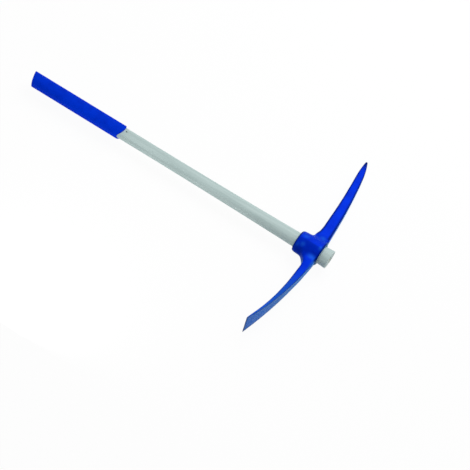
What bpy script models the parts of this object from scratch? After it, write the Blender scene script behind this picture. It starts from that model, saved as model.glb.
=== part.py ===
"""Drop-in pickaxe: a forged head on a glass-fibre handle with a plastic jacket and a soft butt grip.

The tool lies on its side. X runs along the handle towards the head, Y from the adze to the point of
the pick, and Z is square to the plane that the tool swings in. The pieces are drawn about the handle's
axis, with X = 0 at the middle of the arms, and one empty then lays them on Z = 0.
"""
import math
from collections import namedtuple

import bpy
import bmesh
from mathutils import Vector

# Lengths are in metres
GAP = 0.0003                # between pieces that touch
SIDES = 32                  # facets round the handle, its grip and the eye
SHARP_ANGLE = math.radians(35)
ELLIPSE = 2.0               # power of a plain oval; a higher one is squarer

# Handle, butt to head end. Each oval has a width in Y and a thickness in Z.
HANDLE_LENGTH = 0.900
STUB = 0.0247               # handle that stands past the eye's front face
HEAD_END_WIDTH = 0.0536
HEAD_END_THICK = 0.0385
SHAFT_WIDTH = 0.0344        # where the shaft meets the grip
SHAFT_THICK = 0.0226
SHAFT_SQUARE = 2.6          # power of the shaft's oval at the grip
SHAFT_WAIST = 2.6           # power of the curve from neck to shaft: higher thins sooner
SHAFT_RINGS = 8
SLANT_PULL = 4              # power of the rings' turn to the grip's slant: higher turns later
END_EDGE = 0.0008           # broken edge round the flat head end
TAIL_WIDTH = 0.030          # reduced end of the jacket, inside the grip
TAIL_THICK = 0.0195

# Glass-fibre core
CORE_DIAMETER = 0.015
CORE_RECESS = 0.001         # core's end below the jacket's flat end
CORE_SHORT = 0.030          # core's other end from the butt
CORE_EDGE = 0.0008

# Marks of the two pins that hold the core while the jacket is moulded
MARK_DIAMETER = 0.0034
MARK_DEPTH = 0.0024
MARK_BACK = 0.009           # from the grip's start towards the head
MARK_SIDE = 0.003           # from the handle's middle towards the pick
MARK_SIDES = 12

# Grip sleeve
GRIP_LENGTH = 0.274
GRIP_WIDTH = 0.0408
GRIP_THICK = 0.0316
GRIP_SQUARE = 2.6
GRIP_PASS = 0.0007          # the neck stands this far outside the grip, so that the head slides off over it
GRIP_START_SLANT = math.radians(9.0)
GRIP_BUTT_SLANT = math.radians(18.5)
GRIP_START_ROUND = 0.0022
GRIP_BUTT_ROUND = 0.0018
GRIP_ROUND_STEPS = 2
BUTT_WALL = 0.008           # closed end of the sleeve

# Eye of the head and the collar round it
EYE_FRONT = 0.0158          # flat front face, ahead of the arms' middle
EYE_LENGTH = 0.0704
EYE_CUT = 0.004             # how far the eye's cutter stands out at each end
COLLAR_WIDTH = 0.0668
COLLAR_THICK = 0.0525
COLLAR_ROUND = 0.0068       # rounded end of the collar
COLLAR_STRAIGHT = 0.6       # share of the collar that keeps its width before it swells to the cheeks
FRONT_ROUND = 0.0012
FRONT_LAND = 0.0044         # front face is held flat up to this far from its edge
CHEEK_WIDTH = 0.0688        # boss where the arms leave it, from its front face to here
CHEEK_THICK = 0.0560
ARM_BACK = -0.0272
BOSS_SIDES = 12
ROOT_CREASE = 0.5           # share of an arm's crease that its root has

# Where the arms' sections are drawn, as shares of each stretch
FILLET_STATIONS = (0.25, 0.6)
TAPER_STATIONS = (0.33, 0.67, 1.0)
POINT_STATIONS = (0.4, 0.7, 0.93, 1.0)
BLADE_STATIONS = (0.2, 0.4, 0.6, 0.8, 1.0)

# Pick arm. Depth is in the swing plane, thickness square to it.
PICK_REACH = 0.3212
PICK_DROOP = 0.0295         # how far the point curves back towards the butt
PICK_SET = -0.0035          # arm's middle line at the eye
PICK_ROOT = 0.064
PICK_SHOULDER = 0.2525      # where the long taper ends and the ground point begins
PICK_ROOT_DEPTH = 0.0323
PICK_ROOT_THICK = 0.0255
PICK_SHOULDER_DEPTH = 0.0214
PICK_SHOULDER_THICK = 0.0155
PICK_TIP = 0.0040
PICK_BACK_FILLET = 0.0096   # added at the boss, on the arm's back, its two sides and its front
PICK_SIDE_FILLET = 0.004
PICK_FRONT_FILLET = 0.0012
PICK_FILLET_FALL = 1.7      # power of the fillet's curve: higher leaves the boss more sharply
PICK_CREASE = 0.40          # how square the arm's corners are, 0 to 1

# Adze arm
ADZE_REACH = 0.2880
ADZE_DROOP = 0.0350
ADZE_SET = 0.0026
ADZE_BEND = 2.65            # power of the curve: higher bends nearer the edge
ADZE_ROOT = 0.066
ADZE_ROOT_DEPTH = 0.0222
ADZE_EDGE_DEPTH = 0.0022
ADZE_THIN = 0.78            # power of the taper: lower thins sooner
ADZE_ROOT_WIDTH = 0.0285
ADZE_EDGE_WIDTH = 0.0688
ADZE_FLARE = 2.15           # power of the curve that widens the blade
ADZE_BACK_FILLET = 0.0180
ADZE_SIDE_FILLET = 0.004
ADZE_FRONT_FILLET = 0.0018
ADZE_FILLET_FALL = 2.5
ADZE_CREASE = 0.45

HEAD_LEVELS = 2

# Sizes and places that follow
NECK_WIDTH = GRIP_WIDTH + 2 * GRIP_PASS     # where the handle leaves the collar
NECK_THICK = GRIP_THICK + 2 * GRIP_PASS
ARM_FRONT = EYE_FRONT - FRONT_ROUND
COLLAR_END = EYE_FRONT - EYE_LENGTH
HEAD_END = EYE_FRONT + STUB
BUTT = HEAD_END - HANDLE_LENGTH
GRIP_START = BUTT + GRIP_LENGTH
CORE_BACK = BUTT + CORE_SHORT
START_SLOPE = math.tan(GRIP_START_SLANT)
BUTT_SLOPE = -math.tan(GRIP_BUTT_SLANT)

# One oval station of a body: its place, its two widths, how far x moves with y, and how square it is
Ring = namedtuple("Ring", "x width thick slope square", defaults=(0.0, ELLIPSE))


def clear_scene():
    for old in list(bpy.data.objects):
        bpy.data.objects.remove(old, do_unlink=True)


def paint(name, colour, roughness, metallic=0.0):
    """A plain material; colour is sRGB, 0 to 255."""
    made = bpy.data.materials.new(name)
    made.use_nodes = True
    shader = made.node_tree.nodes["Principled BSDF"]
    linear = [(c / 255 / 12.92) if c <= 10 else ((c / 255 + 0.055) / 1.055) ** 2.4 for c in colour]
    shader.inputs["Base Color"].default_value = (*linear, 1.0)
    shader.inputs["Roughness"].default_value = roughness
    shader.inputs["Metallic"].default_value = metallic
    made.diffuse_color = (*linear, 1.0)
    return made


def mix(first, last, share):
    return first + (last - first) * share


def push(bm, faces):
    """Extrudes faces and returns the new ones. The old ones stay, for the caller to delete."""
    made = bmesh.ops.extrude_face_region(bm, geom=faces)["geom"]
    return [item for item in made if isinstance(item, bmesh.types.BMFace)]


def squared(unit, power):
    """Moves one coordinate of the unit circle out towards a square's corner; power 2 leaves it."""
    return math.copysign(abs(unit) ** (2 / power), unit)


def place_ring(bm, verts, ring):
    """Puts verts, which remember their angle, on the ring's oval."""
    unit_y = bm.verts.layers.float["unit_y"]
    unit_z = bm.verts.layers.float["unit_z"]
    for vert in verts:
        y = squared(vert[unit_y], ring.square) * ring.width / 2
        z = squared(vert[unit_z], ring.square) * ring.thick / 2
        vert.co = (ring.x + ring.slope * y, y, z)


def shell(rings, sides):
    """A closed body through the rings, with its first and last ring capped."""
    bm = bmesh.new()
    unit_y = bm.verts.layers.float.new("unit_y")
    unit_z = bm.verts.layers.float.new("unit_z")
    made = bmesh.ops.create_circle(bm, cap_ends=True, segments=sides, radius=1.0)
    for vert in made["verts"]:
        vert[unit_y] = vert.co.x
        vert[unit_z] = vert.co.y
    place_ring(bm, made["verts"], rings[0])
    cap = bm.faces[:]
    for count, ring in enumerate(rings[1:]):
        inside = cap
        cap = push(bm, cap)
        if count > 0:
            bmesh.ops.delete(bm, geom=inside, context="FACES_ONLY")
        place_ring(bm, cap[0].verts, ring)
    bmesh.ops.recalc_face_normals(bm, faces=bm.faces)
    return bm


def rounded_end(end, radius, inward, steps=1):
    """Rings of the round at a body's end, from the flat out to the full oval; one step is a chamfer."""
    rings = []
    for step in range(steps + 1):
        turn = math.pi / 2 * step / steps
        inset = radius * (1 - math.sin(turn))
        x = end.x + inward * radius * (1 - math.cos(turn))
        rings.append(end._replace(x=x, width=end.width - 2 * inset, thick=end.thick - 2 * inset))
    return rings


def finish(bm, name, material):
    mesh = bpy.data.meshes.new(name)
    bm.to_mesh(mesh)
    bm.free()
    mesh.materials.append(material)
    mesh.shade_smooth()
    mesh.set_sharp_from_angle(angle=SHARP_ANGLE)
    made = bpy.data.objects.new(name, mesh)
    bpy.context.scene.collection.objects.link(made)
    return made


def cutter(bm, name):
    """A hidden solid that only cuts."""
    made = finish(bm, name, bpy.data.materials["cutter"])
    made.hide_render = True
    made.display_type = "WIRE"
    return made


def cut(target, tool):
    step = target.modifiers.new(tool.name, "BOOLEAN")
    step.operation = "DIFFERENCE"
    step.solver = "EXACT"
    step.object = tool


def socket_ring(x, extra=0.0):
    """The handle's tapered oval inside the eye, at x, with extra on every side."""
    share = (x - COLLAR_END) / (HEAD_END - COLLAR_END)
    width = mix(NECK_WIDTH, HEAD_END_WIDTH, share)
    thick = mix(NECK_THICK, HEAD_END_THICK, share)
    return Ring(x, width + 2 * extra, thick + 2 * extra)


def shaft_rings():
    """From the collar to the grip: a quick waist behind the neck, then a long taper that grows squarer."""
    rings = []
    for step in range(1, SHAFT_RINGS + 1):
        share = step / SHAFT_RINGS
        fall = (1 - share) ** SHAFT_WAIST
        rings.append(Ring(
            mix(COLLAR_END, GRIP_START + GAP, share),
            mix(SHAFT_WIDTH, NECK_WIDTH, fall),
            mix(SHAFT_THICK, NECK_THICK, fall),
            START_SLOPE * share ** SLANT_PULL,
            mix(ELLIPSE, SHAFT_SQUARE, share)))
    return rings


def make_jacket(material):
    bore = CORE_DIAMETER + 2 * GAP
    rings = [
        Ring(CORE_BACK - GAP, bore, bore),
        Ring(HEAD_END, bore, bore),
        *rounded_end(socket_ring(HEAD_END), END_EDGE, -1),
        socket_ring(COLLAR_END),
        *shaft_rings(),
        Ring(GRIP_START + GAP, TAIL_WIDTH, TAIL_THICK, START_SLOPE, SHAFT_SQUARE),
        Ring(BUTT + BUTT_WALL + GAP, TAIL_WIDTH, TAIL_THICK, BUTT_SLOPE, SHAFT_SQUARE),
    ]
    jacket = finish(shell(rings, SIDES), "handle_jacket", material)
    for side in (1, -1):
        bm = bmesh.new()
        bmesh.ops.create_cone(
            bm, cap_ends=True, segments=MARK_SIDES, radius1=MARK_DIAMETER / 2, radius2=MARK_DIAMETER / 2,
            depth=2 * MARK_DEPTH)
        across = 2 * MARK_SIDE / SHAFT_WIDTH
        rise = SHAFT_THICK / 2 * (1 - across ** SHAFT_SQUARE) ** (1 / SHAFT_SQUARE)
        bmesh.ops.translate(bm, verts=bm.verts, vec=(GRIP_START + MARK_BACK, MARK_SIDE, side * rise))
        cut(jacket, cutter(bm, f"mark_{side}"))
    return jacket


def make_core(material):
    front = Ring(HEAD_END - CORE_RECESS, CORE_DIAMETER, CORE_DIAMETER)
    back = Ring(CORE_BACK, CORE_DIAMETER, CORE_DIAMETER)
    rings = [*rounded_end(front, CORE_EDGE, -1), *reversed(rounded_end(back, CORE_EDGE, 1))]
    return finish(shell(rings, SIDES), "fibreglass_core", material)


def make_grip(material):
    """A sleeve with a closed, slanted butt; the hollow fits the jacket's tail."""
    hollow_width = TAIL_WIDTH + 2 * GAP
    hollow_thick = TAIL_THICK + 2 * GAP
    start = Ring(GRIP_START, GRIP_WIDTH, GRIP_THICK, START_SLOPE, GRIP_SQUARE)
    butt = Ring(BUTT, GRIP_WIDTH, GRIP_THICK, BUTT_SLOPE, GRIP_SQUARE)
    rings = [
        Ring(BUTT + BUTT_WALL, hollow_width, hollow_thick, BUTT_SLOPE, SHAFT_SQUARE),
        Ring(GRIP_START, hollow_width, hollow_thick, START_SLOPE, SHAFT_SQUARE),
        *rounded_end(start, GRIP_START_ROUND, -1, GRIP_ROUND_STEPS),
        *reversed(rounded_end(butt, GRIP_BUTT_ROUND, 1, GRIP_ROUND_STEPS)),
    ]
    return finish(shell(rings, SIDES), "butt_grip", material)


# One section of an arm, y metres from the handle's axis: its two edges along X and its thickness
Section = namedtuple("Section", "y back front thick crease")


def fillet_share(y, root):
    """1 where an arm leaves the boss, 0 from its root on."""
    return max((root - y) / (root - CHEEK_WIDTH / 2), 0.0)


def fillet_places(root):
    return [mix(CHEEK_WIDTH / 2, root, share) for share in FILLET_STATIONS]


def pick_sections():
    """The fillets, the long taper, then the point, ground down faster on a rounded curve."""
    def section(y, crease):
        share = (y - PICK_ROOT) / (PICK_SHOULDER - PICK_ROOT)
        depth = mix(PICK_ROOT_DEPTH, PICK_SHOULDER_DEPTH, share)
        thick = mix(PICK_ROOT_THICK, PICK_SHOULDER_THICK, share)
        if y > PICK_SHOULDER:
            ground = ((y - PICK_SHOULDER) / (PICK_REACH - PICK_SHOULDER)) ** 2
            depth = mix(PICK_SHOULDER_DEPTH, PICK_TIP, ground)
            thick = mix(PICK_SHOULDER_THICK, PICK_TIP, ground)
        middle = PICK_SET - PICK_DROOP * (y / PICK_REACH) ** 2
        near = fillet_share(y, PICK_ROOT)
        fillet = near ** PICK_FILLET_FALL
        back = middle - depth / 2 - PICK_BACK_FILLET * fillet
        front = middle + depth / 2 + PICK_FRONT_FILLET * near
        return Section(y, back, front, thick + PICK_SIDE_FILLET * fillet, crease)

    return [
        *[section(y, 0.0) for y in fillet_places(PICK_ROOT)],
        section(PICK_ROOT, PICK_CREASE * ROOT_CREASE),
        *[section(mix(PICK_ROOT, PICK_SHOULDER, share), PICK_CREASE) for share in TAPER_STATIONS],
        *[section(mix(PICK_SHOULDER, PICK_REACH, share), PICK_CREASE) for share in POINT_STATIONS],
    ]


def adze_sections():
    """The fillets, then a bar that thins and spreads into a wide cutting edge square to the swing plane."""
    def section(y, crease):
        share = max((y - ADZE_ROOT) / (ADZE_REACH - ADZE_ROOT), 0.0)
        depth = mix(ADZE_ROOT_DEPTH, ADZE_EDGE_DEPTH, share ** ADZE_THIN)
        thick = mix(ADZE_ROOT_WIDTH, ADZE_EDGE_WIDTH, share ** ADZE_FLARE)
        middle = ADZE_SET - ADZE_DROOP * (y / ADZE_REACH) ** ADZE_BEND
        near = fillet_share(y, ADZE_ROOT)
        fillet = near ** ADZE_FILLET_FALL
        back = middle - depth / 2 - ADZE_BACK_FILLET * fillet
        front = middle + depth / 2 + ADZE_FRONT_FILLET * near
        return Section(-y, back, front, thick + ADZE_SIDE_FILLET * fillet, crease)

    return [
        *[section(y, 0.0) for y in fillet_places(ADZE_ROOT)],
        section(ADZE_ROOT, ADZE_CREASE * ROOT_CREASE),
        *[section(mix(ADZE_ROOT, ADZE_REACH, share), ADZE_CREASE) for share in BLADE_STATIONS],
    ]


def grow_arm(bm, sections, hard_end):
    """Extrudes one arm from the boss: the faces nearest the Y axis, between the arms' front and back."""
    unit_y = bm.verts.layers.float["unit_y"]
    unit_z = bm.verts.layers.float["unit_z"]
    across = bm.verts.layers.int["across"]
    beside = bm.verts.layers.int["beside"]
    creases = bm.edges.layers.float["crease_edge"]
    side = math.copysign(1, sections[0].y)
    facet = math.tau / BOSS_SIDES
    middle = (ARM_FRONT + ARM_BACK) / 2
    reach = (ARM_FRONT - ARM_BACK) / 2
    faces = [
        face for face in bm.faces
        if side * sum(vert[unit_y] for vert in face.verts) / len(face.verts) > math.cos(facet)
        and abs(face.calc_center_median().x - middle) < reach]
    for vert in {vert for face in faces for vert in face.verts}:
        vert[across] = round((vert.co.x - middle) / reach)
        vert[beside] = round(vert[unit_z] / math.sin(facet))
    for section in sections:
        inside = faces
        faces = push(bm, inside)
        bmesh.ops.delete(bm, geom=inside, context="FACES")
        verts = {vert for face in faces for vert in face.verts}
        for vert in verts:
            x = mix(section.back, section.front, (vert[across] + 1) / 2)
            vert.co = (x, section.y, vert[beside] * section.thick / 2)
            corner = vert[across] != 0 and vert[beside] != 0
            for edge in vert.link_edges:
                other = edge.other_vert(vert)
                if corner and other not in verts:
                    edge[creases] = section.crease
    if hard_end:
        for edge in {edge for face in faces for edge in face.edges}:
            if sum(face in faces for face in edge.link_faces) == 1:
                edge[creases] = 1.0


def boss_rings():
    """The forging round the eye, front face first. The arms' fronts run flush into the front face."""
    middle = (ARM_FRONT + ARM_BACK) / 2
    collar_back = COLLAR_END + COLLAR_ROUND
    collar_front = mix(collar_back, ARM_BACK, COLLAR_STRAIGHT)
    return [
        Ring(EYE_FRONT, CHEEK_WIDTH - 2 * FRONT_LAND, CHEEK_THICK - 2 * FRONT_LAND),
        Ring(EYE_FRONT, CHEEK_WIDTH - FRONT_ROUND, CHEEK_THICK - FRONT_ROUND),
        Ring(ARM_FRONT, CHEEK_WIDTH, CHEEK_THICK),
        Ring(middle, CHEEK_WIDTH, CHEEK_THICK),
        Ring(ARM_BACK, CHEEK_WIDTH, CHEEK_THICK),
        Ring(collar_front, COLLAR_WIDTH, COLLAR_THICK),
        Ring(collar_back, COLLAR_WIDTH, COLLAR_THICK),
        Ring(COLLAR_END, COLLAR_WIDTH - COLLAR_ROUND, COLLAR_THICK - COLLAR_ROUND),
        Ring(COLLAR_END, COLLAR_WIDTH - 2 * COLLAR_ROUND, COLLAR_THICK - 2 * COLLAR_ROUND),
    ]


def make_head(material):
    """The boss, its two arms and the eye, which is squarer at the back so that the grip passes."""
    bm = shell(boss_rings(), BOSS_SIDES)
    bm.verts.layers.int.new("across")
    bm.verts.layers.int.new("beside")
    bm.edges.layers.float.new("crease_edge")
    grow_arm(bm, pick_sections(), hard_end=False)
    grow_arm(bm, adze_sections(), hard_end=True)
    bmesh.ops.recalc_face_normals(bm, faces=bm.faces)
    head = finish(bm, "pick_head", material)
    rounding = head.modifiers.new("forged", "SUBSURF")
    rounding.levels = HEAD_LEVELS
    rounding.render_levels = HEAD_LEVELS
    eye_front = socket_ring(EYE_FRONT + EYE_CUT, GAP)
    eye_back = socket_ring(COLLAR_END - EYE_CUT, GAP)._replace(square=GRIP_SQUARE)
    cut(head, cutter(shell([eye_front, eye_back], SIDES), "eye_cutter"))
    return head


def lay_down(pieces):
    """Parents the pieces to an empty that centres them over the origin, lowest point on Z = 0."""
    bpy.context.view_layer.update()
    depsgraph = bpy.context.evaluated_depsgraph_get()
    points = []
    for piece in pieces:
        points.extend(vert.co.copy() for vert in piece.evaluated_get(depsgraph).data.vertices)
    low = Vector([min(point[i] for point in points) for i in range(3)])
    high = Vector([max(point[i] for point in points) for i in range(3)])
    ground = bpy.data.objects.new("ground", None)
    bpy.context.scene.collection.objects.link(ground)
    ground.location = (-(low.x + high.x) / 2, -(low.y + high.y) / 2, -low.z)
    for item in bpy.context.scene.objects:
        if item != ground:
            item.parent = ground
    bpy.context.view_layer.update()


def main():
    clear_scene()
    paint("cutter", (255, 120, 0), 0.5)
    forged = paint("painted_forged_steel", (4, 50, 205), 0.38)
    plastic = paint("grey_polypropylene", (178, 195, 193), 0.45)
    rubber = paint("blue_soft_grip", (3, 47, 190), 0.55)
    fibre = paint("glass_fibre_rod", (196, 188, 140), 0.5)
    lay_down([make_head(forged), make_jacket(plastic), make_core(fibre), make_grip(rubber)])


main()
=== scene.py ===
import math
from collections import namedtuple

import bmesh
import bpy
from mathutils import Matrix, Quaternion, Vector, noise


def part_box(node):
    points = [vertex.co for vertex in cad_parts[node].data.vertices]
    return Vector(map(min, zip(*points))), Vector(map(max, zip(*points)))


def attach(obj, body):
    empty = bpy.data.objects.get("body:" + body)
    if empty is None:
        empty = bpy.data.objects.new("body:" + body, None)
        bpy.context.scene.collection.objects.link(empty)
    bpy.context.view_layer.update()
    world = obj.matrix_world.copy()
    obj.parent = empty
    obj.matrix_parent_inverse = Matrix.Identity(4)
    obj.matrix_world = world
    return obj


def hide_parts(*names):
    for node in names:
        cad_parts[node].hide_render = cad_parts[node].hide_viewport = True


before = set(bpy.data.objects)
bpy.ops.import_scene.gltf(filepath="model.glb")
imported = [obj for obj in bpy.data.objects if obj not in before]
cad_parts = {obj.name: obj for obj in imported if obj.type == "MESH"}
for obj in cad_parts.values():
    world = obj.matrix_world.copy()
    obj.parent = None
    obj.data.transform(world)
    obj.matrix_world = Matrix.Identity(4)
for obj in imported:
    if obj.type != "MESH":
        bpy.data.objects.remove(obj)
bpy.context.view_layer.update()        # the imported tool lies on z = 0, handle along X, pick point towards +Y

# Every piece is drawn about the handle's axis, with x = 0 at the middle of the head's two arms,
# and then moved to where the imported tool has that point.
handle = {
    "length": 0.900,            # butt to head end
    "stub": 0.0247,             # what stands out of the eye
    "headEndWidth": 0.0536,     # widths are in the swing plane, thicks square to it
    "headEndThick": 0.0385,
    "neckWidth": 0.0422,        # just wider than the grip, which has to pass through the eye
    "neckThick": 0.033,
    "shaftWidth": 0.0344,
    "shaftThick": 0.0226,
    "shaftSquare": 2.6,         # power of the oval at the grip: 2 is an ellipse
    "waist": 2.6,               # higher thins sooner behind the neck
    "slantPull": 4,             # higher turns the rings to the grip's slant later
    "tailWidth": 0.030,         # inside the grip
    "tailThick": 0.0195,
    "gripLength": 0.274,
    "startSlant": math.radians(9.0),
    "startCrown": 0.0058,       # how far the grip's start is rounded towards the head
    "buttSlant": math.radians(18.5),
    "clearance": 0.0003,
}
eye = {"front": 0.0158, "length": 0.0704}       # the head's hole for the handle

headEndX = eye["front"] + handle["stub"]
collarEndX = eye["front"] - eye["length"]
buttX = headEndX - handle["length"]
gripStartX = buttX + handle["gripLength"]
startSlope = math.tan(handle["startSlant"])
buttSlope = -math.tan(handle["buttSlant"])

coreLow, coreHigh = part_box("fibreglass_core")
toolOrigin = Vector((
    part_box("handle_jacket")[1].x - headEndX, (coreLow.y + coreHigh.y) / 2, (coreLow.z + coreHigh.z) / 2))

Ring = namedtuple("Ring", "x width thick slope square seam crown", defaults=(0.0, 2.0, 0.0, 0.0))


# Colour and node helpers

def paintColour(hexCode):
    # sRGB hex to the linear colour that a shader wants
    parts = [int(hexCode[i:i + 2], 16) / 255 for i in (1, 3, 5)]
    return (*[c / 12.92 if c <= 0.04045 else ((c + 0.055) / 1.055) ** 2.4 for c in parts], 1.0)


def perMillimetre(size):
    return 1000.0 / size        # texture scale for features this many millimetres across


def addNode(tree, kind, settings=None, links=None, stops=()):
    node = tree.nodes.new("ShaderNode" + kind)
    for key, value in (settings or {}).items():
        if isinstance(key, str) and hasattr(node, key):
            setattr(node, key, value)
        else:
            node.inputs[key].default_value = value
    for key, source in (links or {}).items():
        tree.links.new(source, node.inputs[key])
    for place, (position, hexCode) in enumerate(stops):
        elements = node.color_ramp.elements
        stop = elements[place] if place < len(elements) else elements.new(position)
        stop.position, stop.color = position, paintColour(hexCode)
    return node


def startMaterial(name):
    material = bpy.data.materials.new(name)
    material.use_nodes = True
    tree = material.node_tree
    shader = tree.nodes["Principled BSDF"]
    place = addNode(tree, "TexCoord").outputs["Object"]
    return material, tree, shader, place


# Mesh helpers

def between(first, last, share):
    return first + (last - first) * share


def squared(unit, power):
    # Moves a place on a circle to one on a squarer oval.
    return math.copysign(abs(unit) ** (2 / power), unit)


onSeam = 0.001      # a vertex this near the swing plane, on a circle of radius 1, is on the seam


def placeRing(bm, verts, ring):
    aroundY = bm.verts.layers.float["aroundY"]
    aroundZ = bm.verts.layers.float["aroundZ"]
    for vert in verts:
        proud = ring.seam if abs(vert[aroundZ]) < onSeam else 0.0
        y = squared(vert[aroundY], ring.square) * (ring.width / 2 + proud)
        x = ring.x + ring.slope * y + ring.crown * vert[aroundZ] ** 2
        vert.co = (x, y, squared(vert[aroundZ], ring.square) * ring.thick / 2)


def loftRings(rings, sides):
    # A circle's edges are extruded from ring to ring. Each vertex remembers its place on the circle.
    bm = bmesh.new()
    aroundY = bm.verts.layers.float.new("aroundY")
    aroundZ = bm.verts.layers.float.new("aroundZ")
    made = bmesh.ops.create_circle(bm, cap_ends=False, segments=sides, radius=1.0)
    for vert in made["verts"]:
        vert[aroundY] = vert.co.x
        vert[aroundZ] = vert.co.y
    placeRing(bm, made["verts"], rings[0])
    firstLoop = loop = bm.edges[:]
    for ring in rings[1:]:
        made = bmesh.ops.extrude_edge_only(bm, edges=loop)["geom"]
        loop = [item for item in made if isinstance(item, bmesh.types.BMEdge)]
        placeRing(bm, [item for item in made if isinstance(item, bmesh.types.BMVert)], ring)
    return bm, firstLoop, loop


def capped(rings, sides):
    bm, firstLoop, lastLoop = loftRings(rings, sides)
    bmesh.ops.edgeloop_fill(bm, edges=firstLoop)
    bmesh.ops.edgeloop_fill(bm, edges=lastLoop)
    bmesh.ops.recalc_face_normals(bm, faces=bm.faces)
    return bm


def roundedEnd(end, radius, inward, steps=6):
    # Rings of a quarter round, from the flat end out to the full width.
    rings = []
    for step in range(steps + 1):
        turn = math.pi / 2 * step / steps
        inset = radius * (1 - math.sin(turn))
        x = end.x + inward * radius * (1 - math.cos(turn))
        rings.append(end._replace(x=x, width=end.width - 2 * inset, thick=end.thick - 2 * inset))
    return rings


def makePiece(bm, name, material, sharpAngle=math.radians(40)):
    bmesh.ops.translate(bm, verts=bm.verts, vec=toolOrigin)
    mesh = bpy.data.meshes.new(name)
    bm.to_mesh(mesh)
    bm.free()
    mesh.materials.append(material)
    mesh.shade_smooth()
    mesh.set_sharp_from_angle(angle=sharpAngle)
    piece = bpy.data.objects.new(name, mesh)
    bpy.context.scene.collection.objects.link(piece)
    return piece


def settle(piece):
    # Keeps the mesh that the modifiers give, and drops them.
    bpy.context.view_layer.update()
    shown = piece.evaluated_get(bpy.context.evaluated_depsgraph_get())
    mesh = bpy.data.meshes.new_from_object(shown)
    piece.modifiers.clear()
    piece.data = mesh


def fit(piece, body, node):
    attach(piece, body)
    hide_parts(node)
    print(piece.name, len(piece.data.polygons), "faces")


# Materials

def stovedEnamel():
    # Enamel sprayed over a shot-blasted forging and baked: a hard satin skin that still follows the
    # hammered hollows below it. Painted shade, painted reflection and painted highlights are mixed into its
    # colour from the head's vertices. Its shine is faintly blue, and a pale haze lies on it where it is seen
    # along the surface.
    enamel = {
        "coats": [(0.32, "#0029D6"), (0.5, "#0030E4"), (0.7, "#0036EE")],   # thick, full and thin
        "coatSize": 28,             # sizes are in millimetres
        # colour of the painted shade
        "shaded": "#001468",
        # colour of the painted reflection on the adze
        "reflection": "#1C5AD4",
        # colour of the painted highlights
        "highlight": "#2474FF",
        "roughness": (0.33, 0.46),
        "specular": 0.04,
        "shine": "#00A0FF",
        "haze": "#80F0FF",
        "hazeWeight": 0.5,
        "hazeRoughness": 0.35,
        "dimpleSize": 3,            # shot-blast dimples are under 1 mm: they are drawn at 3 mm to show
        "dimpleDepth": 0.0004,
        "dimpleStrength": 0.22,
        "hollowSize": 11,
        "hollowDepth": 0.0012,
        "hollowStrength": 0.35,
    }
    material, tree, shader, place = startMaterial("stoved_enamel_on_forged_steel")
    coats = addNode(
        tree, "TexNoise", {"Scale": perMillimetre(enamel["coatSize"]), "Detail": 3.0, "Roughness": 0.55},
        {"Vector": place})
    colour = addNode(
        tree, "ValToRGB", links={"Fac": coats.outputs["Fac"]}, stops=enamel["coats"]).outputs["Color"]
    # mixes in the painted highlights, painted reflection and painted shade that the head's vertices carry
    for kind in ("highlight", "reflection", "shaded"):
        share = addNode(tree, "Attribute", {"attribute_name": kind + "Paint"})
        colour = addNode(
            tree, "MixRGB", {"Color2": paintColour(enamel[kind])},
            {"Fac": share.outputs["Fac"], "Color1": colour}).outputs["Color"]
    tree.links.new(colour, shader.inputs["Base Color"])
    smooth, rough = enamel["roughness"]
    gloss = addNode(
        tree, "MapRange", {"To Min": smooth, "To Max": rough}, {"Value": coats.outputs["Fac"]})
    tree.links.new(gloss.outputs["Result"], shader.inputs["Roughness"])
    shader.inputs["Specular IOR Level"].default_value = enamel["specular"]
    shader.inputs["Specular Tint"].default_value = paintColour(enamel["shine"])
    shader.inputs["Sheen Weight"].default_value = enamel["hazeWeight"]
    shader.inputs["Sheen Roughness"].default_value = enamel["hazeRoughness"]
    shader.inputs["Sheen Tint"].default_value = paintColour(enamel["haze"])
    dimples = addNode(
        tree, "TexNoise", {"Scale": perMillimetre(enamel["dimpleSize"]), "Detail": 2.0}, {"Vector": place})
    hollows = addNode(
        tree, "TexNoise", {"Scale": perMillimetre(enamel["hollowSize"]), "Detail": 2.0}, {"Vector": place})
    fine = addNode(
        tree, "Bump", {"Strength": enamel["dimpleStrength"], "Distance": enamel["dimpleDepth"]},
        {"Height": dimples.outputs["Fac"]})
    broad = addNode(
        tree, "Bump", {"Strength": enamel["hollowStrength"], "Distance": enamel["hollowDepth"]},
        {"Height": hollows.outputs["Fac"], "Normal": fine.outputs["Normal"]})
    tree.links.new(broad.outputs["Normal"], shader.inputs["Normal"])
    return material


def mouldedPolypropylene(name, shades):
    # Polypropylene injected round the rod in a spark-eroded mould: a dry satin skin with faint flow
    # streaks along the handle.
    plastic = {
        "streakSize": 7,            # sizes are in millimetres
        "streakDraw": 0.06,         # less draws the streaks out further
        "roughness": (0.41, 0.53),
        "specular": 0.32,
        "grainSize": 1.2,           # the spark-eroded grain is about 0.1 mm: it is drawn at 1.2 mm to show
        "grainDepth": 0.00015,
        "grainStrength": 0.25,
    }
    material, tree, shader, place = startMaterial(name)
    along = addNode(tree, "Mapping", {"Scale": (plastic["streakDraw"], 1.0, 1.0)}, {"Vector": place})
    streaks = addNode(
        tree, "TexNoise", {"Scale": perMillimetre(plastic["streakSize"]), "Detail": 3.0},
        {"Vector": along.outputs["Vector"]})
    colour = addNode(tree, "ValToRGB", links={"Fac": streaks.outputs["Fac"]}, stops=shades)
    tree.links.new(colour.outputs["Color"], shader.inputs["Base Color"])
    smooth, rough = plastic["roughness"]
    gloss = addNode(
        tree, "MapRange", {"To Min": smooth, "To Max": rough}, {"Value": streaks.outputs["Fac"]})
    tree.links.new(gloss.outputs["Result"], shader.inputs["Roughness"])
    shader.inputs["Specular IOR Level"].default_value = plastic["specular"]
    grain = addNode(
        tree, "TexNoise", {"Scale": perMillimetre(plastic["grainSize"]), "Detail": 2.0}, {"Vector": place})
    bump = addNode(
        tree, "Bump", {"Strength": plastic["grainStrength"], "Distance": plastic["grainDepth"]},
        {"Height": grain.outputs["Fac"]})
    tree.links.new(bump.outputs["Normal"], shader.inputs["Normal"])
    return material


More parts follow.
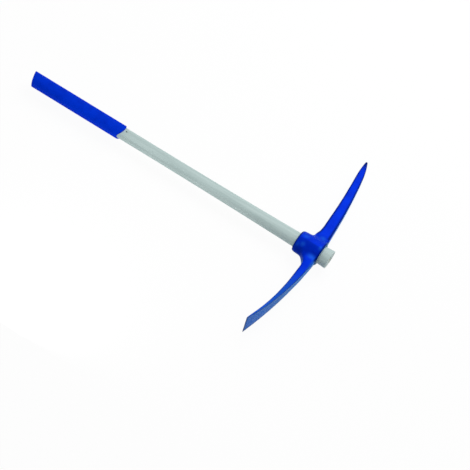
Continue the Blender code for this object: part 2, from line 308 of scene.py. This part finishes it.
def softGripRubber():
    # Thermoplastic rubber moulded over the jacket: matt, with a fine leather grain that breaks up its
    # shine.
    rubber = {
        "bloom": [(0.3, "#002DC6"), (0.7, "#0036DA")],
        "bloomSize": 18,            # sizes are in millimetres
        "roughness": 0.6,
        "specular": 0.06,
        "shine": "#0078FF",
        "cellSize": 1.6,            # the grain's cells are about 0.6 mm: they are drawn at 1.6 mm to show
        "cellDepth": 0.0003,
        "cellStrength": 0.3,
    }
    material, tree, shader, place = startMaterial("moulded_blue_grip_rubber")
    bloom = addNode(
        tree, "TexNoise", {"Scale": perMillimetre(rubber["bloomSize"]), "Detail": 4.0}, {"Vector": place})
    colour = addNode(tree, "ValToRGB", links={"Fac": bloom.outputs["Fac"]}, stops=rubber["bloom"])
    tree.links.new(colour.outputs["Color"], shader.inputs["Base Color"])
    shader.inputs["Roughness"].default_value = rubber["roughness"]
    shader.inputs["Specular IOR Level"].default_value = rubber["specular"]
    shader.inputs["Specular Tint"].default_value = paintColour(rubber["shine"])
    cells = addNode(
        tree, "TexVoronoi", {"Scale": perMillimetre(rubber["cellSize"]), "feature": "SMOOTH_F1"},
        {"Vector": place})
    bump = addNode(
        tree, "Bump", {"Strength": rubber["cellStrength"], "Distance": rubber["cellDepth"]},
        {"Height": cells.outputs["Distance"]})
    tree.links.new(bump.outputs["Normal"], shader.inputs["Normal"])
    return material


def pultrudedRod():
    # Glass strands drawn through resin and sawn across: a pale greenish face with the strand ends as
    # fine dots.
    rod = {
        "strands": [(0.15, "#DCD9B8"), (0.6, "#B9B27E")],   # glass in a cell's middle, resin round it
        "strandSize": 0.9,          # bundles of strands, in millimetres
        "strandDraw": 0.02,         # less draws the strands out further
        "strandDepth": 0.0002,
        "strandStrength": 0.4,
        "roughness": 0.5,
    }
    material, tree, shader, place = startMaterial("pultruded_glass_fibre")
    along = addNode(tree, "Mapping", {"Scale": (rod["strandDraw"], 1.0, 1.0)}, {"Vector": place})
    strands = addNode(
        tree, "TexVoronoi", {"Scale": perMillimetre(rod["strandSize"])},
        {"Vector": along.outputs["Vector"]})
    colour = addNode(tree, "ValToRGB", links={"Fac": strands.outputs["Distance"]}, stops=rod["strands"])
    tree.links.new(colour.outputs["Color"], shader.inputs["Base Color"])
    shader.inputs["Roughness"].default_value = rod["roughness"]
    bump = addNode(
        tree, "Bump", {"Strength": rod["strandStrength"], "Distance": rod["strandDepth"], "invert": True},
        {"Height": strands.outputs["Distance"]})
    tree.links.new(bump.outputs["Normal"], shader.inputs["Normal"])
    return material


# Handle jacket

jacket = {
    "sides": 128,
    "shaftRings": 40,
    "endEdge": 0.0008,
    "seam": 0.00012,            # parting line of the mould along both edges of the shaft
    "coreDiameter": 0.015,
    "coreFromButt": 0.030,
    "buttWall": 0.008,
    "markDiameter": 0.0034,     # two pins hold the rod in the middle of the mould
    "markDepth": 0.0024,
    "markAhead": 0.0132,        # from the grip's start, towards the head
    "markSide": 0.0023,
    "markSides": 24,
    "skin": [(0.3, "#A9BDBB"), (0.7, "#BCCFCD")],
    # dark colour of the pin marks' faces: painted shade in the holes
    "pinShade": [(0.3, "#1E2423"), (0.7, "#343D3B")],
}


def socketRing(x, extra=0.0):
    # The taper that jams in the eye. The eye is the same taper, wider by the clearance on every side.
    share = (x - collarEndX) / (headEndX - collarEndX)
    width = between(handle["neckWidth"], handle["headEndWidth"], share)
    thick = between(handle["neckThick"], handle["headEndThick"], share)
    return Ring(x, width + 2 * extra, thick + 2 * extra)


def shaftRings():
    rings = []
    for step in range(1, jacket["shaftRings"] + 1):
        share = step / jacket["shaftRings"]
        fall = (1 - share) ** handle["waist"]
        rings.append(Ring(
            between(collarEndX, gripStartX + handle["clearance"], share),
            between(handle["shaftWidth"], handle["neckWidth"], fall),
            between(handle["shaftThick"], handle["neckThick"], fall),
            startSlope * share ** handle["slantPull"],
            between(2.0, handle["shaftSquare"], share),
            jacket["seam"],
            handle["startCrown"] * share ** handle["slantPull"]))
    return rings


def makeJacket():
    gap = handle["clearance"]
    bore = jacket["coreDiameter"] + 2 * gap
    tail = Ring(
        gripStartX + gap, handle["tailWidth"], handle["tailThick"], startSlope, handle["shaftSquare"],
        crown=handle["startCrown"])
    rings = [
        Ring(buttX + jacket["coreFromButt"] - gap, bore, bore),
        Ring(headEndX, bore, bore),
        *roundedEnd(socketRing(headEndX), jacket["endEdge"], -1),
        socketRing(between(headEndX, collarEndX, 0.5)),
        socketRing(collarEndX),
        *shaftRings(),
        tail,
        tail._replace(x=buttX + jacket["buttWall"] + gap, slope=buttSlope, crown=0.0),
    ]
    skin = mouldedPolypropylene("moulded_grey_polypropylene", jacket["skin"])
    piece = makePiece(capped(rings, jacket["sides"]), "handleJacket", skin)
    cutPinMarks(piece)
    return piece


def cutPinMarks(piece):
    # The marks' faces are coloured dark: painted shade in the holes.
    pinShade = mouldedPolypropylene("shaded_pin_mark", jacket["pinShade"])
    piece.data.materials.append(pinShade)
    power = handle["shaftSquare"]
    across = 2 * jacket["markSide"] / handle["shaftWidth"]
    rise = handle["shaftThick"] / 2 * (1 - across ** power) ** (1 / power)
    bm = bmesh.new()
    for side in (1, -1):
        made = bmesh.ops.create_cone(
            bm, cap_ends=True, segments=jacket["markSides"], depth=2 * jacket["markDepth"],
            radius1=jacket["markDiameter"] / 2, radius2=jacket["markDiameter"] / 2)
        place = (gripStartX + jacket["markAhead"], jacket["markSide"], side * rise)
        bmesh.ops.translate(bm, verts=made["verts"], vec=place)
    for face in bm.faces:
        face.material_index = 1
    pins = makePiece(bm, "pins", piece.data.materials[0])
    pins.data.materials.append(pinShade)
    step = piece.modifiers.new("pinMarks", "BOOLEAN")
    step.operation = "DIFFERENCE"
    step.solver = "EXACT"
    step.object = pins
    settle(piece)
    bpy.data.objects.remove(pins, do_unlink=True)


# Core

core = {"sides": 64, "recess": 0.001, "edge": 0.0008, "edgeSteps": 3}


def makeCore():
    front = Ring(headEndX - core["recess"], jacket["coreDiameter"], jacket["coreDiameter"])
    back = front._replace(x=buttX + jacket["coreFromButt"])
    rings = [
        *roundedEnd(front, core["edge"], -1, core["edgeSteps"]),
        *reversed(roundedEnd(back, core["edge"], 1, core["edgeSteps"])),
    ]
    return makePiece(capped(rings, core["sides"]), "glassFibreCore", pultrudedRod())


# Grip

grip = {
    "sides": 128,
    "width": 0.0408,
    "thick": 0.0316,
    "square": 2.6,
    "startRound": 0.0022,
    "buttRound": 0.0018,
    "rings": 24,
}


def makeGrip():
    gap = handle["clearance"]
    crown = handle["startCrown"]
    hollow = Ring(
        gripStartX, handle["tailWidth"] + 2 * gap, handle["tailThick"] + 2 * gap,
        startSlope, handle["shaftSquare"], crown=crown)
    start = Ring(gripStartX, grip["width"], grip["thick"], startSlope, grip["square"], crown=crown)
    butt = start._replace(x=buttX, slope=buttSlope, crown=0.0)
    sleeve = []
    for step in range(1, grip["rings"]):
        share = step / grip["rings"]
        x = between(gripStartX - grip["startRound"], buttX + grip["buttRound"], share)
        slope = between(startSlope, buttSlope, share)
        sleeve.append(start._replace(x=x, slope=slope, crown=between(crown, 0.0, share)))
    rings = [
        hollow._replace(x=buttX + jacket["buttWall"], slope=buttSlope, crown=0.0),
        hollow,
        *roundedEnd(start, grip["startRound"], -1),
        *sleeve,
        *reversed(roundedEnd(butt, grip["buttRound"], 1)),
    ]
    return makePiece(capped(rings, grip["sides"]), "softGrip", softGripRubber())


# Head

head = {
    "sides": 12,
    "smoothing": 4,
    "collarWidth": 0.0668,
    "collarThick": 0.0525,
    "collarRound": 0.0068,
    "collarStraight": 0.6,      # share of the collar that keeps its width before it swells to the cheeks
    "frontRound": 0.0012,
    "mouthRound": 0.0012,       # broken edge where the handle enters the eye
    "cheekWidth": 0.0688,
    "cheekThick": 0.0560,
    "armBack": -0.0272,         # the arms grow from the front face to here
    "filletStations": (0.25, 0.6),      # shares of the way from the boss to an arm's root
    "waviness": 0.00022,        # hammered unevenness of the forging
    "wavinessSize": 0.017,
    "boreReach": 1.1,           # the head end's oval, this much larger in area, holds all of the bore
    "flash": 0.0003,            # what trimming leaves of the flash where the dies met
    "flashWidth": 0.0034,
    "flashEnd": 0.030,          # ground away this far from the adze's edge
    "flashTurn": 0.5,           # only where the skin turns less than this to the top or bottom
}
pick = {
    "reach": 0.3212,
    "droop": 0.0295,            # how far the point curves back towards the butt
    "set": -0.0035,
    "root": 0.064,
    "shoulder": 0.2525,         # the ground point begins here
    "rootDepth": 0.0323,        # depth is in the swing plane, thick square to it
    "rootThick": 0.0255,
    "shoulderDepth": 0.0214,
    "shoulderThick": 0.0155,
    "tip": 0.0040,
    "stations": (0.33, 0.67, 1.0),              # shares of the way from the root to the shoulder
    "pointStations": (0.4, 0.7, 0.93, 1.0),     # and from there to the tip
    "backFillet": 0.0096,       # added at the boss, on the arm's back, its two sides and its front
    "sideFillet": 0.004,
    "frontFillet": 0.0012,
    "filletFall": 1.7,          # higher leaves the boss more sharply
    "crease": 0.40,
}
adze = {
    "reach": 0.2880,
    "droop": 0.0350,
    "set": 0.0026,
    "bend": 2.65,               # higher bends nearer the edge
    "root": 0.066,
    "rootDepth": 0.0222,
    "edgeDepth": 0.0022,
    "thin": 0.78,
    "rootThick": 0.0285,
    "edgeWidth": 0.0688,
    "flare": 2.15,
    "stations": (0.2, 0.4, 0.6, 0.8),       # shares of the way from the root to the edge
    "backFillet": 0.0180,
    "sideFillet": 0.007,
    "frontFillet": 0.0018,
    "filletFall": 2.5,
    "crease": 0.45,
    "bevel": 0.011,             # the edge is ground from its back only
    "edgeLand": 0.0008,
}
# Where the enamel carries painted shade, painted reflection and painted highlights.
paint = {                       # a pair says where a mark begins and where it is whole
    "onFlank": 0.42,
    "flankTurn": (-0.05, 0.12), # how far a face turns towards the adze
    "underFlank": 0.25,         # added where it turns there most
    "underTurn": (0.45, 0.9),
    "rootFade": (0.020, 0.031), # where the flank passes into the adze, from the handle's middle
    "backFade": (-0.022, 0.002),
    "adzeFade": (0.042, 0.056),
    "onEdge": 0.88,
    "edgeBand": (0.45, 0.97),   # shares of an arm's half width
    "pickEdge": (0.034, 0.045),
    "adzeEdge": (0.048, 0.080),
    "frontBand": (0.78, 1.0),   # the dark line is narrower along the adze's front
    "endBand": (0.0048, 0.0012),
    "onBack": 0.7,
    "backTurn": (0.45, 0.9),    # how far a face turns to the butt
    "onRim": 0.9,
    "rimBand": (0.0075, 0.002),
    "pointBand": (0.045, 0.002),
    "frontTurn": (0.05, 0.6),   # how far a face turns to the front
    "frontFade": (0.020, 0.045),
    "sideReflection": 1.0,
    "sideFade": (0.060, 0.170),
    "glintTurn": (0.45, 0.8),
}
ShadeBand = namedtuple("ShadeBand", "y across share")
shadeBands = [                       # painted shade in bands along the arms
    ShadeBand(0.024, 0.030, 0.3),
    ShadeBand(-0.165, 0.085, 0.2),
]
Glint = namedtuple("Glint", "x y along across share")
glints = [                        # painted highlights on high places of the boss and the arms' roots, with their half sizes
    Glint(-0.037, 0.008, 0.015, 0.010, 0.4),
    Glint(-0.034, -0.016, 0.010, 0.010, 0.5),
    Glint(-0.045, -0.024, 0.007, 0.012, 0.35),
    Glint(0.009, -0.003, 0.008, 0.011, 0.55),
    Glint(0.002, -0.031, 0.019, 0.011, 0.6),
    Glint(-0.002, 0.034, 0.014, 0.010, 0.5),
]
armFrontX = eye["front"] - head["frontRound"]

Section = namedtuple("Section", "y back front thick crease ridge", defaults=(0.0,))


def filletShare(y, root):
    # 1 where an arm leaves the boss, 0 from its root on
    return max((root - y) / (root - head["cheekWidth"] / 2), 0.0)


def filletPlaces(root):
    return [between(head["cheekWidth"] / 2, root, share) for share in head["filletStations"]]


def pickSections():
    def section(y, crease=pick["crease"]):
        share = (y - pick["root"]) / (pick["shoulder"] - pick["root"])
        depth = between(pick["rootDepth"], pick["shoulderDepth"], share)
        thick = between(pick["rootThick"], pick["shoulderThick"], share)
        if y > pick["shoulder"]:
            ground = ((y - pick["shoulder"]) / (pick["reach"] - pick["shoulder"])) ** 2
            depth = between(pick["shoulderDepth"], pick["tip"], ground)
            thick = between(pick["shoulderThick"], pick["tip"], ground)
        middle = pick["set"] - pick["droop"] * (y / pick["reach"]) ** 2
        near = filletShare(y, pick["root"])
        fillet = near ** pick["filletFall"]
        back = middle - depth / 2 - pick["backFillet"] * fillet
        front = middle + depth / 2 + pick["frontFillet"] * near
        return Section(y, back, front, thick + pick["sideFillet"] * fillet, crease)

    return [
        *[section(y, 0.0) for y in filletPlaces(pick["root"])],
        section(pick["root"], pick["crease"] / 2),
        *[section(between(pick["root"], pick["shoulder"], share)) for share in pick["stations"]],
        *[section(between(pick["shoulder"], pick["reach"], share)) for share in pick["pointStations"]],
    ]


def adzeSections():
    def section(y, crease=adze["crease"]):
        share = max((y - adze["root"]) / (adze["reach"] - adze["root"]), 0.0)
        depth = between(adze["rootDepth"], adze["edgeDepth"], share ** adze["thin"])
        thick = between(adze["rootThick"], adze["edgeWidth"], share ** adze["flare"])
        middle = adze["set"] - adze["droop"] * (y / adze["reach"]) ** adze["bend"]
        near = filletShare(y, adze["root"])
        fillet = near ** adze["filletFall"]
        back = middle - depth / 2 - adze["backFillet"] * fillet
        front = middle + depth / 2 + adze["frontFillet"] * near
        return Section(-y, back, front, thick + adze["sideFillet"] * fillet, crease)

    edge = section(adze["reach"])
    return [
        *[section(y, 0.0) for y in filletPlaces(adze["root"])],
        section(adze["root"], adze["crease"] / 2),
        *[section(between(adze["root"], adze["reach"], share)) for share in adze["stations"]],
        section(adze["reach"] - adze["bevel"])._replace(ridge=1.0),
        edge._replace(back=edge.front - adze["edgeLand"]),
    ]


def growArm(bm, sections, hardEnd):
    # The four boss faces nearest the Y axis, from the arms' front to their back, are extruded outwards.
    aroundY = bm.verts.layers.float["aroundY"]
    aroundZ = bm.verts.layers.float["aroundZ"]
    across = bm.verts.layers.float["across"]
    beside = bm.verts.layers.float["beside"]
    creases = bm.edges.layers.float["crease_edge"]
    side = math.copysign(1, sections[0].y)
    facet = math.tau / head["sides"]
    middle = (armFrontX + head["armBack"]) / 2
    reach = (armFrontX - head["armBack"]) / 2
    faces = [
        face for face in bm.faces
        if side * sum(vert[aroundY] for vert in face.verts) / len(face.verts) > math.cos(facet)
        and abs(face.calc_center_median().x - middle) < reach
        and abs(face.calc_center_median().y) > head["collarWidth"] / 2 * math.cos(facet)]
    for vert in {vert for face in faces for vert in face.verts}:
        vert[across] = round((vert.co.x - middle) / reach)
        vert[beside] = round(vert[aroundZ] / math.sin(facet))
    for section in sections:
        inside = faces
        made = bmesh.ops.extrude_face_region(bm, geom=inside)["geom"]
        faces = [item for item in made if isinstance(item, bmesh.types.BMFace)]
        bmesh.ops.delete(bm, geom=inside, context="FACES")
        verts = {vert for face in faces for vert in face.verts}
        for vert in verts:
            x = between(section.back, section.front, (vert[across] + 1) / 2)
            vert.co = (x, section.y, vert[beside] * section.thick / 2)
            for edge in vert.link_edges:
                other = edge.other_vert(vert)
                if vert[across] != 0 and vert[beside] != 0 and other not in verts:
                    edge[creases] = section.crease
                if vert[across] == -1 and other in verts and other[across] == -1:
                    edge[creases] = section.ridge
    if hardEnd:
        for edge in {edge for face in faces for edge in face.edges}:
            if sum(face in faces for face in edge.link_faces) == 1:
                edge[creases] = 1.0


def bossRings():
    # From the eye's front mouth, round the outside, to its back mouth. Smoothing a ring of 12 draws it
    # in by the spline's share, so the bore's rings start that much wider.
    spread = 3 / (2 + math.cos(math.tau / head["sides"]))
    gap = handle["clearance"]
    mouth = head["mouthRound"]

    def boreRing(x, extra=0.0, square=2.0):
        ring = socketRing(x, gap + extra)
        return Ring(x, ring.width * spread, ring.thick * spread, square=square)

    middle = (armFrontX + head["armBack"]) / 2
    collarBack = collarEndX + head["collarRound"]
    collarFront = between(collarBack, head["armBack"], head["collarStraight"])
    width, thick, back = head["collarWidth"], head["collarThick"], head["collarRound"]
    cheekWidth, cheekThick, front = head["cheekWidth"], head["cheekThick"], head["frontRound"]
    return [
        boreRing(eye["front"] - 2 * mouth),
        boreRing(eye["front"] - mouth),
        boreRing(eye["front"], mouth),
        Ring(eye["front"], cheekWidth - front, cheekThick - front),
        Ring(armFrontX, cheekWidth, cheekThick),
        Ring(middle, cheekWidth, cheekThick),
        Ring(head["armBack"], cheekWidth, cheekThick),
        Ring(collarFront, width, thick),
        Ring(collarBack, width, thick),
        Ring(collarEndX, width - back, thick - back),
        boreRing(collarEndX, mouth, grip["square"]),
        boreRing(collarEndX + mouth, square=grip["square"]),
        boreRing(collarEndX + 2 * mouth, square=grip["square"]),
    ]


def forgedSkin(mesh):
    # A forging is never quite flat, and a trimmed flash line runs round its edges. Both are left out of
    # the bore, where the handle has to fit.
    wide, thick = handle["headEndWidth"] / 2, handle["headEndThick"] / 2
    moved = []
    for vert in mesh.vertices:
        spot = vert.co - toolOrigin
        inOval = (spot.y / wide) ** 2 + (spot.z / thick) ** 2 < head["boreReach"]
        inBore = inOval and collarEndX < spot.x < eye["front"]
        edgeOn = abs(vert.normal.z) < head["flashTurn"]
        lift = head["waviness"] * noise.noise(spot / head["wavinessSize"])
        if edgeOn and head["flashEnd"] - adze["reach"] < spot.y < pick["shoulder"]:
            lift += head["flash"] * max(1 - abs(spot.z) / (head["flashWidth"] / 2), 0)
        moved.append(vert.co if inBore else vert.co + vert.normal * lift)
    for vert, place in zip(mesh.vertices, moved):
        vert.co = place


def eased(value, none, whole):
    # 0 at none, 1 at whole, and smooth between them
    share = min(max((value - none) / (whole - none), 0), 1)
    return share * share * (3 - 2 * share)


def band(value, middle, half):
    return eased(abs(value - middle), half, 0)


def shadedPaint(spot, normal, across, beside):
    # Painted shade: the enamel is drawn darker on the boss's adze-side flank, and more where it turns down to
    # the adze, on faces turned to the butt, along the arms' sharp edges, at the adze's edge, round the eye's
    # rims and in the listed bands along the arms. It is also darker towards the pick's point.
    onRoot = eased(spot.x, *paint["backFade"]) * eased(-spot.y, *paint["rootFade"])
    onAdze = max(onRoot, eased(-spot.y, *paint["adzeFade"]))
    onFlank = paint["onFlank"] * eased(-normal.y, *paint["flankTurn"])
    onFlank += paint["underFlank"] * eased(-normal.y, *paint["underTurn"])
    onFlank *= 1 - onAdze
    nearEdge = min(abs(across), abs(beside))
    onFront = eased(across, 0, 1) * eased(-spot.y, *paint["frontFade"])
    onEdge = between(eased(nearEdge, *paint["edgeBand"]), eased(nearEdge, *paint["frontBand"]), onFront)
    onEdge *= eased(spot.y, *paint["pickEdge"]) + eased(-spot.y, *paint["adzeEdge"])
    onEdge = max(onEdge, eased(adze["reach"] + spot.y, *paint["endBand"]))
    onBack = paint["onBack"] * eased(-normal.x, *paint["backTurn"])
    cheek = head["cheekWidth"] / 2
    onRim = eased(min(spot.x - collarEndX, eye["front"] - spot.x), *paint["rimBand"])
    onRim *= eased(abs(spot.y), cheek + paint["rimBand"][0], cheek)
    inShadeBand = max(shadeBand.share * band(spot.y, shadeBand.y, shadeBand.across) for shadeBand in shadeBands)
    atPoint = eased(pick["reach"] - spot.y, *paint["pointBand"])
    return max(onFlank, onBack, inShadeBand, paint["onEdge"] * onEdge, paint["onRim"] * onRim, atPoint)


def reflectionPaint(spot, normal):
    # Painted reflection: a paler, greyer blue on the adze, on its front from the boss on, and all round
    # towards its edge.
    onFront = eased(normal.x, *paint["frontTurn"]) * eased(-spot.y, *paint["frontFade"])
    return max(onFront, paint["sideReflection"] * eased(-spot.y, *paint["sideFade"]))


# Painted highlights: a lighter blue on the listed places, on faces turned to the top or bottom.
def highlightPaint(spot, normal):
    onFace = eased(abs(normal.z), *paint["glintTurn"])
    lit = [
        glint.share * eased(math.hypot((spot.x - glint.x) / glint.along, (spot.y - glint.y) / glint.across), 1, 0)
        for glint in glints]
    return onFace * max(lit)


# Writes the painted shade, painted reflection and painted highlights into the head's vertices.
def paintLightAndShade(mesh):
    for name in ("shadedPaint", "reflectionPaint", "highlightPaint"):
        mesh.attributes.new(name, "FLOAT", "POINT")
    names = ("across", "beside", "shadedPaint", "reflectionPaint", "highlightPaint")
    across, beside, shaded, reflection, highlight = [mesh.attributes[name].data for name in names]
    for vert in mesh.vertices:
        spot = vert.co - toolOrigin
        place = vert.index
        shaded[place].value = shadedPaint(spot, vert.normal, across[place].value, beside[place].value)
        reflection[place].value = reflectionPaint(spot, vert.normal)
        highlight[place].value = highlightPaint(spot, vert.normal)


def makeHead():
    bm, frontLoop, backLoop = loftRings(bossRings(), head["sides"])
    bmesh.ops.bridge_loops(bm, edges=frontLoop + backLoop)
    bm.verts.layers.float.new("across")
    bm.verts.layers.float.new("beside")
    bm.edges.layers.float.new("crease_edge")
    growArm(bm, pickSections(), hardEnd=False)
    growArm(bm, adzeSections(), hardEnd=True)
    bmesh.ops.recalc_face_normals(bm, faces=bm.faces)
    piece = makePiece(bm, "forgedHead", stovedEnamel())
    smooth = piece.modifiers.new("forged", "SUBSURF")
    smooth.levels = smooth.render_levels = head["smoothing"]
    settle(piece)
    forgedSkin(piece.data)
    paintLightAndShade(piece.data)
    return piece


fit(makeHead(), "head", "pick_head")
fit(makeJacket(), "handle", "handle_jacket")
fit(makeCore(), "handle", "fibreglass_core")
fit(makeGrip(), "handle", "butt_grip")


# Floor, light and camera

studio = {
    "floorSize": 6.0,
    "paper": 0.95,
    "floorGlow": 0.95,          # share of the floor that is plain white, so that its shadow stays faint
    "ambient": 0.38,
}
# A lamp's level is what a white card that faces it, lit by nothing else, would read.
keyLamp = {"from": (0.1, 0.55, 0.78), "aim": (-0.2, 0, 0), "distance": 2.4, "size": 2.0, "level": 0.74}
sideLamp = {"from": (0, -0.98, 0.17), "aim": (-0.5, 0, 0), "distance": 0.6, "size": 0.3, "level": 0.32}
shot = {
    "azimuth": math.radians(18.8),
    "elevation": math.radians(55.2),
    "roll": math.radians(16.04),
    "distance": 4.0,
    "lens": 124.02,
    "sensor": 36.0,
    "clipEnd": 20.0,
    "aim": (-0.1868, -0.0844, 0.0),
}


def seenWhite(tree):
    # 1 for the rays that show the background: straight, mirrored or through glass
    path = addNode(tree, "LightPath")
    seen = addNode(tree, "Math", {"operation": "MAXIMUM"}, {
        0: path.outputs["Is Camera Ray"], 1: path.outputs["Is Glossy Ray"]})
    return addNode(tree, "Math", {"operation": "MAXIMUM"}, {
        0: seen.outputs["Value"], 1: path.outputs["Is Transmission Ray"]}).outputs["Value"]


def makeFloor():
    bm = bmesh.new()
    bmesh.ops.create_grid(bm, x_segments=1, y_segments=1, size=studio["floorSize"] / 2)
    mesh = bpy.data.meshes.new("studioFloor")
    bm.to_mesh(mesh)
    bm.free()
    floor = bpy.data.objects.new("studioFloor", mesh)
    bpy.context.scene.collection.objects.link(floor)
    material = bpy.data.materials.new("white_paper_floor")
    material.use_nodes = True
    tree = material.node_tree
    tree.nodes.clear()
    paper = addNode(tree, "BsdfDiffuse", {"Color": (*[studio["paper"]] * 3, 1.0)})
    white = addNode(tree, "Emission", {"Color": (1.0, 1.0, 1.0, 1.0), "Strength": 1.0})
    share = addNode(
        tree, "Math", {"operation": "MULTIPLY", 1: studio["floorGlow"]}, {0: seenWhite(tree)})
    mixed = addNode(tree, "MixShader", links={
        0: share.outputs["Value"], 1: paper.outputs["BSDF"], 2: white.outputs["Emission"]})
    addNode(tree, "OutputMaterial", links={"Surface": mixed.outputs["Shader"]})
    mesh.materials.append(material)


def makeWorld():
    world = bpy.data.worlds.new("paleStudio")
    bpy.context.scene.world = world
    world.use_nodes = True
    tree = world.node_tree
    level = addNode(
        tree, "MapRange", {"To Min": studio["ambient"], "To Max": 1.0}, {"Value": seenWhite(tree)})
    background = tree.nodes["Background"]
    background.inputs["Color"].default_value = (1.0, 1.0, 1.0, 1.0)
    tree.links.new(level.outputs["Result"], background.inputs["Strength"])


def hangLamp(name, lamp):
    direction = Vector(lamp["from"]).normalized()
    light = bpy.data.lights.new(name, "AREA")
    light.shape = "DISK"
    light.size = lamp["size"]
    light.energy = lamp["level"] * (math.pi * lamp["distance"]) ** 2
    softbox = bpy.data.objects.new(name, light)
    softbox.location = toolOrigin + Vector(lamp["aim"]) + direction * lamp["distance"]
    softbox.rotation_euler = direction.to_track_quat("Z", "Y").to_euler()
    softbox.visible_camera = False
    bpy.context.scene.collection.objects.link(softbox)


def makeCamera():
    azimuth, elevation = shot["azimuth"], shot["elevation"]
    flat = math.cos(elevation)
    back = Vector((math.sin(azimuth) * flat, -math.cos(azimuth) * flat, math.sin(elevation)))
    camera = bpy.data.objects.new("camera", bpy.data.cameras.new("camera"))
    camera.data.lens = shot["lens"]
    camera.data.sensor_width = shot["sensor"]
    camera.data.clip_end = shot["clipEnd"]
    camera.rotation_mode = "QUATERNION"
    camera.location = toolOrigin + Vector(shot["aim"]) + back * shot["distance"]
    camera.rotation_quaternion = back.to_track_quat("Z", "Y") @ Quaternion((0, 0, 1), shot["roll"])
    bpy.context.scene.collection.objects.link(camera)
    bpy.context.scene.camera = camera


makeFloor()
makeWorld()
hangLamp("keySoftbox", keyLamp)
hangLamp("sideSoftbox", sideLamp)
makeCamera()
bpy.context.scene.view_settings.view_transform = "Standard"
print("floor, light and camera are set")
